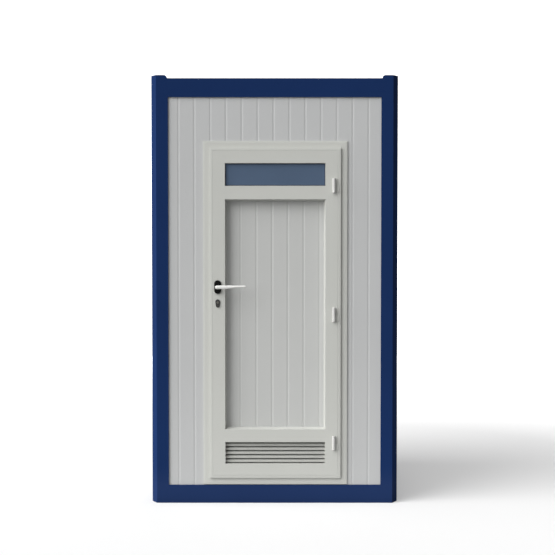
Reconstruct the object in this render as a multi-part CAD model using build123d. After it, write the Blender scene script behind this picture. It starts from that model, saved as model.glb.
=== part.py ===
from build123d import *
import math
import os

# A panel toilet cabin: a welded steel frame, sandwich-panel walls, a plastic door and a plumbed toilet.
# Millimetres, +Z up. The origin is on the ground at the middle of the plan, and the door faces -Y.

os.makedirs("parts", exist_ok=True)

# Steel frame
width = 1360.0
depth = 1350.0
height = 2356.0
post_front = 95.0
post_side = 126.0
post_chamfer_front = 30.0
post_chamfer_side = 60.0
post_wall = 3.0
cap_thickness = 17.0
cap_plate = 4.0
cap_setback = 6.0
cap_lean = 5.0
cap_edge_run = 8.0
cap_edge_drop = 3.5
foot_thickness = 10.0
anchor_inset = 36.0
anchor_radius = 9.0
lifting_radius = 13.0
base_height = 100.0
roof_beam_height = 103.0
beam_wall = 3.0

# Floor, walls and roof
joist_count = 5
joist_width = 40.0
joist_height = 60.0
board_thickness = 18.0
vinyl_thickness = 3.0
wall_setback = 8.0
panel_thickness = 50.0
groove_pitch = 87.0
groove_width = 16.0
groove_depth = 1.2
groove_phase = -6.0
roof_thickness = 60.0
roof_rib_count = 5
roof_rib_height = 22.0
roof_rib_foot = 70.0
roof_rib_crest = 34.0
roof_rib_margin = 60.0
trim_leg = 30.0
trim_thickness = 3.0
panel_gap = 1.0
fit_gap = 0.5

# Door frame
door_x = 3.0
frame_width = 720.0
frame_top = 1960.0
sill_rise = 4.0
frame_band = 16.0
frame_bevel_run = 10.0
frame_bevel_drop = 1.0
flange_width = 36.0
flange_bevel_run = 10.0
flange_bevel_drop = 1.0
door_proud = 12.0
frame_inside = 5.0
door_gap = 1.0
stop_lap = 6.5
stop_gap = 3.5
seal_slack = 0.5
seal_margin = 0.5

# Door leaf
leaf_thickness = 60.0
leaf_chamfer = 0.6
lip_width = 3.5
lip_thickness = 8.0
stile_width = 67.0
top_rail = 68.0
fanlight_height = 125.0
fanlight_rail = 73.0
vent_rail = 69.0
vent_height = 123.0
bottom_rail = 61.0
infill_bead_width = 8.0
fanlight_bead_width = 1.0
bead_set = 1.0
bead_lip = 3.0
infill_recess = 44.0
infill_thickness = 10.0
infill_groove_phase = -14.0
glass_recess = 12.0
glass_thickness = 24.0
louvre_rim = 2.0
louvre_recess = 1.0
louvre_blade_count = 5
louvre_blade_set = 20.0
louvre_blade_depth = 16.0
louvre_blade_rise = 11.4
louvre_blade_thickness = 9.0
louvre_foot_gap = 6.0
louvre_head_gap = 3.0

# Door hinges
hinge_inset = 21.0
hinge_standoff = 10.0
hinge_above_foot = 178.5
hinge_below_head = 190.5
barrel_radius = 9.0
barrel_length = 78.0
barrel_edge = 1.5
knuckle_gap = 0.5
pin_radius = 5.0
pin_clearance = 0.05
knuckle_foot = 10.0
strap_thickness = 2.0
strap_clearance = 0.6
strap_margin = 4.0

# Lock and handles
handle_height = 1196.0
backset = 27.0
cylinder_drop = 85.0
latch_rise = 27.0
lock_thickness = 16.0
lock_depth = 58.0
lock_below = 45.0
lock_above = 25.0
forend_thickness = 2.5
forend_width = 20.0
forend_margin = 20.0
lock_fit = 0.3
latch_height = 16.0
latch_thickness = 12.0
latch_length = 30.0
latch_throw = 11.0
bolt_height = 20.0
bolt_thickness = 10.0
bolt_length = 45.0
strike_thickness = 2.0
strike_margin = 12.0
keep_depth = 10.0
keep_clearance = 1.0
rosette_width = 38.0
rosette_height = 74.0
rosette_thickness = 9.0
rosette_edge = 2.0
neck_radius = 9.0
neck_clearance = 0.06
lever_reach = 156.0
lever_root_radius = 9.5
lever_heel = 3.0
lever_tip_radius = 5.5
lever_lift = 1.5
lever_rise = 3.5
lever_thickness = 11.0
lever_edge = 3.0
lever_standoff = 40.0
neck_gap = 0.3
spindle_side = 8.0
spindle_fit = 0.1
spindle_socket = 25.0
spindle_hole_radius = 6.3
escutcheon_top_radius = 13.0
escutcheon_foot_radius = 10.0
escutcheon_height = 44.5
escutcheon_thickness = 6.0
escutcheon_edge = 1.5
escutcheon_above = 17.0
profile_radius = 8.5
profile_foot_radius = 5.0
profile_drop = 19.5
profile_proud = 1.5
plug_radius = 6.5
plug_clearance = 0.05
plug_proud = 0.6
key_slot_width = 2.2
key_slot_height = 9.0
key_slot_depth = 4.0
turn_stem = 5.0
turn_width = 14.0
turn_height = 30.0
turn_thickness = 13.0

# Toilet
toilet_x = 160.0
pan_length = 660.0
rim_height = 400.0
rim_half_width = 180.0
rim_half_length = 215.0
rim_band = 30.0
foot_half_width = 105.0
foot_half_length = 200.0
waist_half_width = 98.0
waist_half_length = 190.0
waist_height = 150.0
foot_setback = 78.0
shroud_width = 220.0
shroud_length = 260.0
shroud_gap = 27.0
shroud_corner = 25.0
bowl_half_width = 130.0
bowl_half_length = 165.0
bowl_floor_half_width = 60.0
bowl_floor_half_length = 80.0
bowl_depth = 170.0
bowl_forward = 8.0
cistern_width = 360.0
cistern_depth = 150.0
cistern_height = 340.0
cistern_wall = 12.0
cistern_corner = 20.0
cistern_lid_thickness = 28.0
cistern_lid_overhang = 4.0
cistern_lid_edge = 6.0
button_radius = 20.0
button_clearance = 0.4
button_height = 14.0
button_proud = 4.0
seat_thickness = 18.0
seat_lift = 3.5
seat_overhang = 4.0
seat_hole_half_width = 115.0
seat_hole_half_length = 150.0
seat_edge = 5.0
buffer_radius = 8.0
buffer_gap = 0.3
lid_thickness = 14.0
lid_gap = 2.5
lid_rest_angle = 93.0
seat_axis_back = 222.0
seat_axis_rise = 16.0
seat_pin_radius = 5.0
seat_pin_clearance = 0.06
lug_radius = 10.0
lug_link = 60.0
seat_lug_span = (52.0, 70.0)
post_span = (72.0, 89.0)
lid_lug_span = (91.0, 109.0)
lug_clearance = 0.5

# Plumbing and power
soil_radius = 55.0
soil_wall = 3.2
soil_height = 180.0
soil_insert = 60.0
soil_reach = 40.0
soil_collar_radius = 66.0
pipe_sleeve = 0.5
inlet_x = -70.0
inlet_height = 330.0
inlet_radius = 10.5
inlet_reach = 25.0
inlet_hex = 17.0
inlet_hex_thickness = 8.0
valve_size = 26.0
fill_pipe_radius = 6.0
fill_pipe_rise = 190.0
fill_pipe_bend = 24.0
gland_inset = 230.0
gland_drop = 186.0
gland_shank_radius = 12.0
gland_bore_radius = 6.5
gland_hex = 18.0
gland_hex_thickness = 10.0
gland_nut_radius = 14.0
gland_nut_length = 18.0

# Basin and its fittings
basin_y = 120.0
basin_width = 400.0
basin_reach = 300.0
basin_height = 140.0
basin_top = 820.0
basin_corner = 80.0
basin_taper = 12.0
basin_back = 70.0
basin_bowl_half_reach = 100.0
basin_bowl_half_width = 150.0
basin_bowl_floor_half = 45.0
basin_bowl_depth = 105.0
tail_radius = 16.0
tail_clearance = 0.5
trap_radius = 32.0
trap_height = 85.0
trap_drop = 70.0
tap_radius = 20.0
tap_height = 95.0
tap_inset = 42.0
spout_radius = 11.0
spout_reach = 105.0
spout_height = 70.0
spout_outlet = 14.0
tap_lever_gap = 0.4
tap_lever_height = 16.0
tap_lever_reach = 85.0
tap_lever_width = 13.0
tap_lever_edge = 3.0
mirror_width = 400.0
mirror_height = 600.0
mirror_bottom = 1200.0
mirror_thickness = 5.0

# Paper holder, lamp and switch
holder_y = 150.0
holder_height = 700.0
holder_plate = 8.0
holder_plate_width = 150.0
holder_plate_height = 60.0
holder_arm_thickness = 8.0
holder_arm_radius = 24.0
roll_radius = 55.0
roll_core_radius = 20.0
roll_width = 100.0
roll_clearance = 0.4
roll_side_gap = 2.0
roll_wall_gap = 15.0
lamp_radius = 110.0
lamp_base_height = 18.0
lamp_dome_radius = 100.0
lamp_dome_drop = 62.0
lamp_dome_wall = 3.0
switch_x = -480.0
switch_height = 1150.0
switch_side = 82.0
switch_thickness = 9.0
switch_corner = 6.0
rocker_width = 44.0
rocker_height = 54.0
rocker_thickness = 9.0
rocker_gap = 0.6
rocker_tilt_room = 1.2
rocker_tilt = 5.0
rocker_sunk = 1.0
rocker_pin_radius = 2.0
rocker_pin_length = 4.0
rocker_pin_clearance = 0.05

# Planes and faces that several pieces share
half_width = width / 2
half_depth = depth / 2
front = -half_depth
rear = half_depth
lining = wall_setback + panel_thickness
room_x = half_width - lining
room_y = half_depth - lining
frame_height = height - cap_thickness
ceiling = frame_height - roof_beam_height
gland_z = ceiling - gland_drop
wall_face = front + wall_setback

leaf_face = front - door_proud
leaf_back = leaf_face + leaf_thickness
leaf_mid = (leaf_face + leaf_back) / 2
stop_face = leaf_back + stop_gap
frame_back = front + lining + frame_inside
frame_half = frame_width / 2
leaf_half = frame_half - frame_band - door_gap
leaf_left = door_x - leaf_half
leaf_right = door_x + leaf_half
sill_bottom = base_height + sill_rise
leaf_bottom = sill_bottom + flange_width + frame_band + door_gap
leaf_top = frame_top - frame_band - door_gap
opening_half = leaf_half - stile_width
lock_edge = leaf_left + lip_width
middle_of_leaf = Plane(origin=(0, leaf_mid, 0), z_dir=(0, 1, 0))

vent_bottom = leaf_bottom + bottom_rail
vent_top = vent_bottom + vent_height
infill_bottom = vent_top + vent_rail
fanlight_top = leaf_top - top_rail
fanlight_bottom = fanlight_top - fanlight_height
infill_top = fanlight_bottom - fanlight_rail

hinge_x = leaf_right - hinge_inset
hinge_y = leaf_face - hinge_standoff
hinge_foot = leaf_bottom + hinge_above_foot
hinge_head = leaf_top - hinge_below_head
hinge_heights = [hinge_foot, (hinge_foot + hinge_head) / 2, hinge_head]
handle_x = leaf_left + backset
cylinder_height = handle_height - cylinder_drop
latch_z = handle_height + latch_rise
bolt_z = (handle_height + cylinder_height) / 2
gland_x = gland_inset - half_width


def block(x_span, y_span, z_span):
    """A box between two limits on each axis."""
    spans = (x_span, y_span, z_span)
    sizes = [high - low for low, high in spans]
    middle = [(low + high) / 2 for low, high in spans]
    return Pos(*middle) * Box(*sizes)


def outline(points):
    """A flat face inside a closed line of points."""
    return make_face(Polyline(*points, close=True))


def along_z(face, low, high):
    """A plan face in x and y, raised from one height to another."""
    return Pos(0, 0, low) * extrude(face, amount=high - low, dir=(0, 0, 1))


def along_y(face, low, high):
    """A front-view face in x and z, carried from front to back."""
    return Pos(0, low, 0) * extrude(Plane.XZ * face, amount=high - low, dir=(0, 1, 0))


def along_x(face, low, high):
    """A side-view face in y and z, carried from left to right."""
    return Pos(low, 0, 0) * extrude(Plane.YZ * face, amount=high - low, dir=(1, 0, 0))


def post(x, y, radius, low, high):
    """An upright cylinder."""
    return Pos(x, y, (low + high) / 2) * Cylinder(radius, high - low)


def bar_y(x, z, radius, low, high):
    """A cylinder that runs front to back."""
    return Pos(x, (low + high) / 2, z) * Rot(X=90) * Cylinder(radius, high - low)


def bar_x(y, z, radius, low, high):
    """A cylinder that runs left to right."""
    return Pos((low + high) / 2, y, z) * Rot(Y=90) * Cylinder(radius, high - low)


def write(node, *shapes):
    """Writes one node's solids to its own file."""
    solids = [solid for shape in shapes for solid in shape.solids()]
    export_step(solids[0] if len(solids) == 1 else Compound(children=solids), f"parts/{node}.step")


def mitred_frame(section, half, low, high):
    """Four mitred bars round a rectangle that is centred on the door.

    The section's points are (out, y), where out is the distance outside the rectangle's edge.
    The bars come back as right, left, head and sill.
    """
    inner = min(out for out, y in section)
    outer = max(out for out, y in section)
    edge = door_x + half
    upright = along_z(outline([(edge + out, y) for out, y in section]), low - outer, high + outer)
    right = upright & along_y(
        outline(
            [
                (edge + inner, low - inner),
                (edge + outer, low - outer),
                (edge + outer, high + outer),
                (edge + inner, high + inner),
            ]
        ),
        min(y for out, y in section),
        max(y for out, y in section),
    )
    left = mirror(right, about=Plane.YZ.offset(door_x))
    level = along_x(outline([(y, high + out) for out, y in section]), edge - 2 * half - outer, edge + outer)
    head = level & along_y(
        outline(
            [
                (edge + inner, high + inner),
                (edge + outer, high + outer),
                (edge - 2 * half - outer, high + outer),
                (edge - 2 * half - inner, high + inner),
            ]
        ),
        min(y for out, y in section),
        max(y for out, y in section),
    )
    sill = mirror(head, about=Plane.XY.offset((low + high) / 2))
    return right, left, head, sill


# Corner posts, with their feet and caps
corner_signs = {"front_left": (-1, -1), "front_right": (1, -1), "rear_left": (-1, 1), "rear_right": (1, 1)}
post_outline = [
    (post_chamfer_front, 0),
    (post_front, 0),
    (post_front, lining),
    (lining, lining),
    (lining, post_side),
    (0, post_side),
    (0, post_chamfer_side),
]


def corner_face(sign_x, sign_y):
    """The post's outline in plan, at one corner."""
    return outline([(sign_x * (half_width - u), sign_y * (half_depth - v)) for u, v in post_outline])


def corner_post(sign_x, sign_y):
    """A hollow L-shaped post, folded from sheet, with its outer corner cut off."""
    face = corner_face(sign_x, sign_y)
    hollow = offset(face, amount=-post_wall, kind=Kind.INTERSECTION)
    return along_z(face - hollow, foot_thickness, frame_height - cap_plate)


def corner_hole(sign_x, sign_y, radius, low, high):
    """The bolt hole's space in a foot or a cap."""
    return post(sign_x * (half_width - anchor_inset), sign_y * (half_depth - anchor_inset), radius, low, high)


def foot_plate(sign_x, sign_y):
    """The plate that closes a post at the ground, with its anchor hole."""
    plate = along_z(corner_face(sign_x, sign_y), 0, foot_thickness)
    return plate - corner_hole(sign_x, sign_y, anchor_radius, 0, foot_thickness)


def cap_view(reach):
    """The cap seen along a wall: a plate on the post, and a leaning block with an eased edge on it."""
    side = reach - cap_setback
    return [
        (0, frame_height - cap_plate),
        (reach, frame_height - cap_plate),
        (reach, frame_height),
        (side, frame_height),
        (side - cap_lean, height - cap_edge_drop),
        (side - cap_lean - cap_edge_run, height),
        (0, height),
    ]


def corner_cap(sign_x, sign_y):
    """The cap that closes a post's top, with its lifting hole."""
    cap = along_z(corner_face(sign_x, sign_y), frame_height - cap_plate, height)
    across = outline([(sign_x * (half_width - u), z) for u, z in cap_view(post_front)])
    deep = outline([(sign_y * (half_depth - v), z) for v, z in cap_view(post_side)])
    cap = cap & along_y(across, front, rear) & along_x(deep, -half_width, half_width)
    return cap - corner_hole(sign_x, sign_y, lifting_radius, frame_height - cap_plate, height)


write("corner_posts_front", *[corner_post(*corner_signs[name]) for name in ("front_left", "front_right")])
write("corner_posts_rear", *[corner_post(*corner_signs[name]) for name in ("rear_left", "rear_right")])
write("foot_plates", *[foot_plate(*signs) for signs in corner_signs.values()])
write("corner_caps", *[corner_cap(*signs) for signs in corner_signs.values()])


# Beams of the base and the roof
def beam_ring(low, high):
    """Four rectangular tubes between the posts."""
    beam_x = half_width - post_front
    beam_y = half_depth - post_side
    inside = (low + beam_wall, high - beam_wall)
    front_tube = block((-beam_x, beam_x), (front, front + lining), (low, high)) - block(
        (-beam_x, beam_x), (front + beam_wall, front + lining - beam_wall), inside
    )
    left_tube = block((-half_width, -room_x), (-beam_y, beam_y), (low, high)) - block(
        (-half_width + beam_wall, -room_x - beam_wall), (-beam_y, beam_y), inside
    )
    rear_tube = mirror(front_tube, about=Plane.XZ)
    right_tube = mirror(left_tube, about=Plane.YZ)
    return front_tube, rear_tube, left_tube, right_tube


write("base_beams", *beam_ring(0, base_height))
write("roof_beams", *beam_ring(ceiling, frame_height))


# Floor
board_top = base_height - vinyl_thickness
board_bottom = board_top - board_thickness


def floor_joist(y):
    """A rectangular tube under the floor, welded between the side beams."""
    spans = (y - joist_width / 2, y + joist_width / 2), (board_bottom - joist_height, board_bottom)
    hollow = [(low + beam_wall, high - beam_wall) for low, high in spans]
    return block((-room_x, room_x), *spans) - block((-room_x, room_x), *hollow)


joist_reach = room_y - joist_width / 2
joist_step = 2 * joist_reach / (joist_count - 1)
write("floor_joists", *[floor_joist(-joist_reach + i * joist_step) for i in range(joist_count)])
floor_x = (-room_x + fit_gap, room_x - fit_gap)
floor_y = (-room_y + fit_gap, room_y - fit_gap)
write("floor_board", block(floor_x, floor_y, (board_bottom, board_top)))
write("floor_vinyl", block(floor_x, floor_y, (board_top, base_height)))


# Sandwich-panel walls
def grooved_points(low, high, face, back, phase):
    """A panel's plan section: a straight back and a face with shallow V grooves."""
    inward = math.copysign(groove_depth, back - face)
    points = [(low, face)]
    first = math.ceil((low + groove_width / 2 - phase) / groove_pitch)
    last = math.floor((high - groove_width / 2 - phase) / groove_pitch)
    for n in range(first, last + 1):
        centre = phase + n * groove_pitch
        points += [
            (centre - groove_width / 2, face),
            (centre, face + inward),
            (centre + groove_width / 2, face),
        ]
    return points + [(high, face), (high, back), (low, back)]


def front_panel(low, high, bottom):
    """One panel of the front wall, from its foot to the roof beam."""
    section = grooved_points(low, high, wall_face, front + lining, groove_phase)
    return along_z(outline(section), bottom, ceiling)


def side_wall(sign):
    """A side wall between two posts, grooved on its outer face."""
    reach = half_depth - post_side
    points = grooved_points(-reach, reach, sign * (half_width - wall_setback), sign * room_x, groove_phase)
    return along_z(outline([(x, y) for y, x in points]), base_height, ceiling)


hole_half = frame_half + panel_gap
post_edge = half_width - post_front
write("front_panel_left", front_panel(-post_edge, door_x - hole_half, base_height))
write("front_panel_right", front_panel(door_x + hole_half, post_edge, base_height))
write("front_panel_header", front_panel(door_x - hole_half, door_x + hole_half, frame_top + panel_gap))
write("wall_panel_left", side_wall(-1))
write("wall_panel_right", side_wall(1))

soil_z = base_height + soil_height
rear_section = grooved_points(-post_edge, post_edge, rear - wall_setback, room_y, groove_phase)
rear_wall = along_z(outline(rear_section), base_height, ceiling)
rear_wall -= bar_y(toilet_x, soil_z, soil_radius + pipe_sleeve, room_y, rear)
rear_wall -= bar_y(inlet_x, inlet_height, inlet_radius + pipe_sleeve, room_y, rear)
rear_wall -= bar_y(gland_x, gland_z, gland_shank_radius + pipe_sleeve, room_y, rear)
write("wall_panel_rear", rear_wall)


# Roof panel, with its ribs, and the trims that carry it
def roof_panel():
    """A flat sandwich panel between the roof beams, with trapezoid ribs on its top sheet."""
    top = ceiling + roof_thickness
    panel = block(floor_x, floor_y, (ceiling, top))
    rib_step = 2 * (room_x - roof_rib_margin) / roof_rib_count
    for i in range(roof_rib_count):
        centre = (i - (roof_rib_count - 1) / 2) * rib_step
        rib = [
            (centre - roof_rib_foot / 2, top),
            (centre - roof_rib_crest / 2, top + roof_rib_height),
            (centre + roof_rib_crest / 2, top + roof_rib_height),
            (centre + roof_rib_foot / 2, top),
        ]
        panel += along_y(outline(rib), -room_y + roof_rib_margin, room_y - roof_rib_margin)
    return panel


def ceiling_trims():
    """Four angle trims under the roof panel, screwed to the walls."""

    def angle(room_half):
        inner = room_half - trim_leg
        return [
            (room_half, ceiling),
            (room_half, ceiling - trim_leg),
            (room_half - trim_thickness, ceiling - trim_leg),
            (room_half - trim_thickness, ceiling - trim_thickness),
            (inner, ceiling - trim_thickness),
            (inner, ceiling),
        ]

    right = along_y(outline(angle(room_x)), -room_y + trim_leg, room_y - trim_leg)
    back = along_x(outline(angle(room_y)), -room_x, room_x)
    return right, mirror(right, about=Plane.YZ), back, mirror(back, about=Plane.XZ)


write("roof_panel", roof_panel())
write("ceiling_trims", *ceiling_trims())


# Door frame, strike plate and seals
frame_out = door_gap + frame_band
flange_out = frame_out + flange_width
frame_section = [
    (door_gap, leaf_face),
    (frame_out - frame_bevel_run, leaf_face),
    (frame_out, leaf_face + frame_bevel_drop),
    (frame_out, front),
    (flange_out - flange_bevel_run, front),
    (flange_out, front + flange_bevel_drop),
    (flange_out, wall_face),
    (frame_out, wall_face),
    (frame_out, frame_back),
    (-stop_lap, frame_back),
    (-stop_lap, stop_face),
    (door_gap, stop_face),
]
strike_x = leaf_left - door_gap
strike_top = latch_z + latch_height / 2 + strike_margin
strike_bottom = bolt_z - bolt_height / 2 - strike_margin
strike_y = (leaf_mid - forend_width / 2, leaf_mid + forend_width / 2)


def bolt_space(thickness, tall, z, x_span, room):
    """The space of a bolt's section, with some room round it."""
    y_half = thickness / 2 + room
    z_half = tall / 2 + room
    return block(x_span, (leaf_mid - y_half, leaf_mid + y_half), (z - z_half, z + z_half))


def keep_spaces(x_span):
    """The two holes that the latch and the dead bolt shoot into."""
    latch = bolt_space(latch_thickness, latch_height, latch_z, x_span, keep_clearance)
    bolt = bolt_space(bolt_thickness, bolt_height, bolt_z, x_span, keep_clearance)
    return latch + bolt


def door_frame():
    """Four welded plastic bars with a face flange, a raised band and a door stop."""
    hinge_jamb, lock_jamb, head, sill = mitred_frame(frame_section, leaf_half, leaf_bottom, leaf_top)
    lock_jamb -= block((strike_x - strike_thickness, strike_x), strike_y, (strike_bottom, strike_top))
    lock_jamb -= keep_spaces((strike_x - keep_depth, strike_x))
    packer = block(
        (door_x - frame_half, door_x + frame_half),
        (wall_face, frame_back),
        (base_height, sill_bottom + flange_width),
    )
    return hinge_jamb, lock_jamb, head, sill + packer


def strike_plate():
    """A flat steel plate let into the lock jamb, with a hole for each bolt."""
    x_span = (strike_x - strike_thickness, strike_x)
    return block(x_span, strike_y, (strike_bottom, strike_top)) - keep_spaces(x_span)


def door_seals():
    """Rubber strips on the stops, and one in the hinge jamb, where the leaf's heel turns inwards."""
    near = leaf_back + seal_slack
    lap = (lip_width + seal_margin, stop_lap - seal_margin)
    lock = block(
        (leaf_left + lap[0], leaf_left + lap[1]),
        (near, stop_face),
        (leaf_bottom + stop_lap, leaf_top - stop_lap),
    )
    across = (leaf_left + stop_lap, hinge_x - hinge_inset - seal_margin)
    head = block(across, (near, stop_face), (leaf_top - lap[1], leaf_top - lap[0]))
    sill = block(across, (near, stop_face), (leaf_bottom + lap[0], leaf_bottom + lap[1]))
    hinge = block(
        (leaf_right - lip_width + seal_slack, leaf_right + door_gap),
        (leaf_back - leaf_thickness / 4, leaf_back),
        (leaf_bottom, leaf_top),
    )
    return lock, head, sill, hinge


write("door_frame", *door_frame())
write("strike_plate", strike_plate())
write("door_seals", *door_seals())


# Door leaf
def cylinder_profile(room):
    """The lock cylinder's section, a keyhole shape, with some room round it."""
    neck = Pos(0, -profile_drop / 2) * Rectangle(2 * (profile_foot_radius + room), profile_drop)
    return (
        Circle(profile_radius + room)
        + neck
        + Pos(0, -profile_drop) * Circle(profile_foot_radius + room)
    )


def cylinder_bar(room, low, high):
    """The lock cylinder's space through the door."""
    return along_y(Pos(handle_x, cylinder_height) * cylinder_profile(room), low, high)


case_z = (cylinder_height - lock_below, latch_z + lock_above)
forend_z = (case_z[0] - forend_margin, case_z[1] + forend_margin)


def lock_space(room):
    """The lock's forend and case, with some room round them."""
    forend_y = forend_width / 2 + room
    case_y = lock_thickness / 2 + room
    forend = block(
        (lock_edge, lock_edge + forend_thickness),
        (leaf_mid - forend_y, leaf_mid + forend_y),
        (forend_z[0] - room, forend_z[1] + room),
    )
    case = block(
        (lock_edge, lock_edge + lock_depth + room),
        (leaf_mid - case_y, leaf_mid + case_y),
        (case_z[0] - room, case_z[1] + room),
    )
    return forend + case


def leaf_bar(x_span, z_span):
    """A part of the leaf: a thick board with a thin lip round its front, which hides the gap to the frame."""
    lip_back = leaf_face + lip_thickness
    lip = block((leaf_left, leaf_right), (leaf_face, lip_back), (leaf_bottom, leaf_top))
    lip = chamfer(lip.faces().sort_by(Axis.Y)[0].edges(), leaf_chamfer)
    board = block(
        (leaf_left + lip_width, leaf_right - lip_width),
        (lip_back, leaf_back),
        (leaf_bottom + lip_width, leaf_top - lip_width),
    )
    return (lip + board) & block(x_span, (leaf_face, leaf_back), z_span)


opening_x = (door_x - opening_half, door_x + opening_half)


def leaf_stiles():
    """The leaf's two uprights; the left one is cut for the lock."""
    hinge_stile = leaf_bar((opening_x[1], leaf_right), (leaf_bottom, leaf_top))
    lock_stile = leaf_bar((leaf_left, opening_x[0]), (leaf_bottom, leaf_top))
    lock_stile -= lock_space(lock_fit)
    lock_stile -= bar_y(handle_x, handle_height, spindle_hole_radius, leaf_face, leaf_back)
    lock_stile -= cylinder_bar(lock_fit, leaf_face, leaf_back)
    return hinge_stile, lock_stile


def leaf_rails():
    """The leaf's four cross bars, between the uprights."""
    spans = (
        (leaf_bottom, vent_bottom),
        (vent_top, infill_bottom),
        (infill_top, fanlight_bottom),
        (fanlight_top, leaf_top),
    )
    return [leaf_bar(opening_x, span) for span in spans]


def bead_set_round(recess, thickness, width_outside, low, high):
    """Sloped beads on both sides of a pane, mitred at the corners."""
    pane_face = leaf_face + recess
    pane_back = pane_face + thickness
    outside = [
        (0, leaf_face + bead_set),
        (0, pane_face),
        (-width_outside, pane_face),
        (-width_outside, pane_face - bead_lip),
    ]
    inside = [
        (0, leaf_back - bead_set),
        (0, pane_back),
        (-infill_bead_width, pane_back),
        (-infill_bead_width, pane_back + bead_lip),
    ]
    return [
        bar for section in (outside, inside) for bar in mitred_frame(section, opening_half, low, high)
    ]


write("leaf_stiles", *leaf_stiles())
write("leaf_rails", *leaf_rails())

pane_half = opening_half - fit_gap
glass_y = (leaf_face + glass_recess, leaf_face + glass_recess + glass_thickness)
pane_x = (door_x - pane_half, door_x + pane_half)
write("fanlight_glass", block(pane_x, glass_y, (fanlight_bottom + fit_gap, fanlight_top - fit_gap)))
infill_face = leaf_face + infill_recess
infill_section = grooved_points(*pane_x, infill_face, infill_face + infill_thickness, infill_groove_phase)
write("infill_panel", along_z(outline(infill_section), infill_bottom + fit_gap, infill_top - fit_gap))
write(
    "glazing_beads",
    *bead_set_round(glass_recess, glass_thickness, fanlight_bead_width, fanlight_bottom, fanlight_top),
    *bead_set_round(infill_recess, infill_thickness, infill_bead_width, infill_bottom, infill_top),
)


# Louvre in the door's foot
louvre_face = leaf_face + louvre_recess
louvre_back = leaf_back - louvre_recess
louvre_section = [
    (0, louvre_face),
    (0, louvre_back),
    (-louvre_rim, louvre_back),
    (-louvre_rim, louvre_face),
]
louvre_low = vent_bottom + louvre_rim + louvre_foot_gap
louvre_high = vent_top - louvre_rim - louvre_head_gap
louvre_blade_height = louvre_blade_thickness + louvre_blade_rise
louvre_pitch = (louvre_high - louvre_low - louvre_blade_height) / (louvre_blade_count - 1)


def louvre_blade(index):
    """One blade, which slopes up and back from its front edge; its ends meet the louvre's frame."""
    low = louvre_low + index * louvre_pitch
    near = leaf_face + louvre_blade_set
    far = near + louvre_blade_depth
    section = [
        (near, low),
        (near, low + louvre_blade_thickness),
        (far, low + louvre_blade_height),
        (far, low + louvre_blade_rise),
    ]
    reach = opening_half - louvre_rim
    return along_x(outline(section), door_x - reach, door_x + reach)


write("louvre_frame", *mitred_frame(louvre_section, opening_half, vent_bottom, vent_top))
write("louvre_blades", *[louvre_blade(i) for i in range(louvre_blade_count)])


# Door hinges
def pin_hole(z):
    """The pin's space in both knuckles of one hinge."""
    half = barrel_length / 2
    return post(hinge_x, hinge_y, pin_radius + pin_clearance, z - half, z + half)


def leaf_knuckle(z):
    """The upper knuckle, on a short foot that stands on the leaf."""
    low = z + knuckle_gap / 2
    high = z + barrel_length / 2
    foot = block(
        (hinge_x - knuckle_foot / 2, hinge_x + knuckle_foot / 2),
        (hinge_y, leaf_face),
        (low + strap_margin, high - strap_margin),
    )
    barrel = post(hinge_x, hinge_y, barrel_radius, low, high)
    barrel = chamfer(barrel.edges().sort_by(Axis.Z)[-1], barrel_edge)
    return barrel + foot - pin_hole(z)


def frame_knuckle(z):
    """The lower knuckle, on a strap that reaches past the leaf's edge to the frame's band."""
    low = z - barrel_length / 2
    high = z - knuckle_gap / 2
    strap_end = leaf_right + door_gap + frame_band - frame_bevel_run
    strap_z = (low + strap_margin, high - strap_margin)
    strap_back = leaf_face - strap_clearance
    strap = block((hinge_x, strap_end), (strap_back - strap_thickness, strap_back), strap_z)
    seat = block((leaf_right + door_gap, strap_end), (strap_back - strap_thickness, leaf_face), strap_z)
    barrel = post(hinge_x, hinge_y, barrel_radius, low, high)
    barrel = chamfer(barrel.edges().sort_by(Axis.Z)[0], barrel_edge)
    return barrel + strap + seat - pin_hole(z)


def hinge_pin(z):
    """The steel pin through both knuckles."""
    half = barrel_length / 2
    return post(hinge_x, hinge_y, pin_radius, z - half, z + half)


write("hinge_leaf_knuckles", *[leaf_knuckle(z) for z in hinge_heights])
write("hinge_frame_knuckles", *[frame_knuckle(z) for z in hinge_heights])
write("hinge_pins", *[hinge_pin(z) for z in hinge_heights])


# Lock
def lock_case():
    """The lock's forend and case, with channels for the bolts, the spindle and the cylinder."""
    channel = (lock_edge, lock_edge + lock_depth)
    case = lock_space(0)
    case -= bolt_space(latch_thickness, latch_height, latch_z, channel, lock_fit)
    case -= bolt_space(bolt_thickness, bolt_height, bolt_z, channel, lock_fit)
    case -= bar_y(handle_x, handle_height, spindle_hole_radius, leaf_face, leaf_back)
    return case - cylinder_bar(lock_fit, leaf_face, leaf_back)


def latch_bolt():
    """The latch, sloped on its inner side so that the closing door pushes it in."""
    tip = lock_edge - latch_throw
    section = [
        (lock_edge + latch_length, leaf_mid - latch_thickness / 2),
        (tip, leaf_mid - latch_thickness / 2),
        (tip, leaf_mid - latch_thickness / 4),
        (lock_edge, leaf_mid + latch_thickness / 2),
        (lock_edge + latch_length, leaf_mid + latch_thickness / 2),
    ]
    return along_z(outline(section), latch_z - latch_height / 2, latch_z + latch_height / 2)


write("lock_case", lock_case())
write("latch_bolt", latch_bolt())
write("dead_bolt", bolt_space(bolt_thickness, bolt_height, bolt_z, (lock_edge, lock_edge + bolt_length), 0))


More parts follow.
